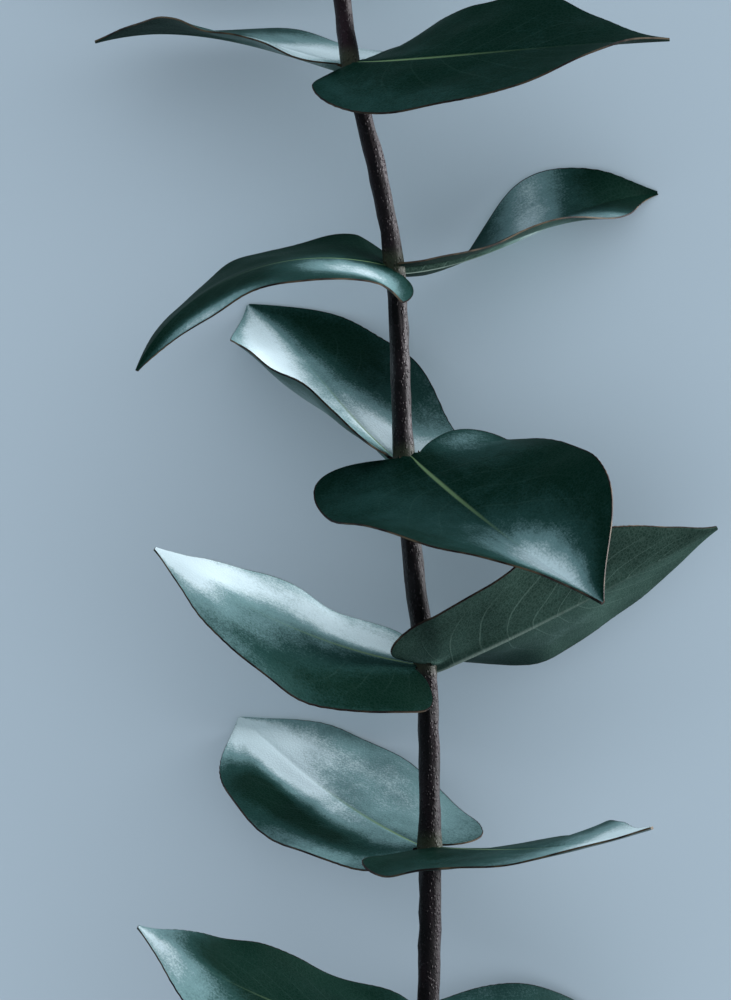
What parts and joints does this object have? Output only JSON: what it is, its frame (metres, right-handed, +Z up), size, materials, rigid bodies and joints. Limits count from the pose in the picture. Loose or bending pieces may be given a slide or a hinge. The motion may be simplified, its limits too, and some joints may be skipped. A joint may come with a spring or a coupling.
{
  "type": "eucalyptus branch",
  "caption": "Cut branch of juvenile eucalyptus lying down: a thin woody stem with opposite pairs of round waxy leaves that clasp it and a small closed tip.",
  "frame": {"origin": "middle of the branch's box on the surface that it lies on", "axes": "+Y along the stem to the growing tip, +Z up from the surface, +X to the right seen from above"},
  "size_m": [0.093, 0.2519, 0.0657],
  "materials": {
    "bark": "rough warty dark maroon-brown bark of a young stem",
    "leaf": "leathery blue-green blade with a pale waxy bloom",
    "bud": "pale waxy green closed tip"
  },
  "bodies": {
    "root": {"stem": "bark", "tip_bud": "bud", "leaf_1_left": "leaf", "leaf_1_right": "leaf", "leaf_2_left": "leaf", "leaf_2_right": "leaf", "leaf_3_left": "leaf", "leaf_3_right": "leaf", "leaf_4_left": "leaf", "leaf_4_right": "leaf", "leaf_5_left": "leaf", "leaf_5_right": "leaf", "leaf_6_left": "leaf", "leaf_6_right": "leaf", "leaf_7_left": "leaf", "leaf_7_right": "leaf", "leaf_8_left": "leaf", "leaf_8_right": "leaf", "leaf_9_left": "leaf", "leaf_9_right": "leaf"}
  },
  "joints": []
}
